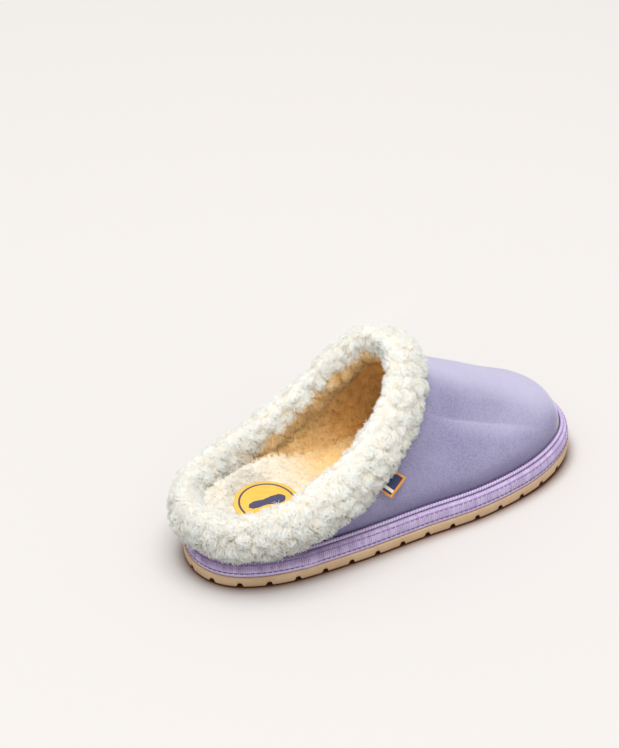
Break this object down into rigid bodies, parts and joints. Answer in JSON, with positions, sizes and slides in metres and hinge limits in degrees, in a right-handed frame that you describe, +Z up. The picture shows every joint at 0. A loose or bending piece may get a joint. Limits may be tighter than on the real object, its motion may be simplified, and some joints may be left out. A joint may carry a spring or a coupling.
{
  "type": "house slipper",
  "caption": "Low-backed indoor slipper: rounded suede toe, thick fleece cuff and lining, ribbed sole wrap with corded seam, notched rubber sole and a small hinged flag label.",
  "frame": {"origin": "on the ground under the middle of the sole, half way along its length", "axes": "+Y towards the toe, +X to the wearer's right (the outer side of this right-foot slipper), +Z up"},
  "size_m": [0.0997, 0.2677, 0.1111],
  "materials": {
    "rubber_tan": "matt moulded rubber",
    "foam_white": "closed-cell foam",
    "tape_lilac": "ribbed woven tape",
    "thread_violet": "twisted thread",
    "cord_mauve": "twisted cord",
    "board_grey": "fibre board",
    "fleece_cream": "long curly pile",
    "patch_yellow": "printed twill, matt",
    "suede_lilac": "brushed suede nap",
    "puff_white": "stiffened sheet",
    "label_navy": "woven ribbon, satin"
  },
  "bodies": {
    "slipper": {"outsole": "rubber_tan", "midsole": "foam_white", "sole_wrap": "tape_lilac", "wrap_stitch_lower": "thread_violet", "wrap_stitch_upper": "thread_violet", "seam_cord": "cord_mauve", "insole_board": "board_grey", "closing_stitch": "thread_violet", "footbed_foam": "foam_white", "footbed_fleece": "fleece_cream", "heel_patch": "patch_yellow", "vamp": "suede_lilac", "toe_puff": "puff_white", "vamp_lining": "fleece_cream", "back_strip": "suede_lilac", "collar_fleece": "fleece_cream", "collar_core": "foam_white", "topline_stitch": "thread_violet", "label_tail": "label_navy"},
    "label": {"side_label": "label_navy"}
  },
  "joints": [
    {"name": "label_flap", "type": "hinge", "parent": "slipper", "child": "label", "pos_m": [0.03782, -0.01952, 0.04462], "axis": [0.2378, -0.8327, -0.5001], "range_deg": [-30, 60]}
  ]
}
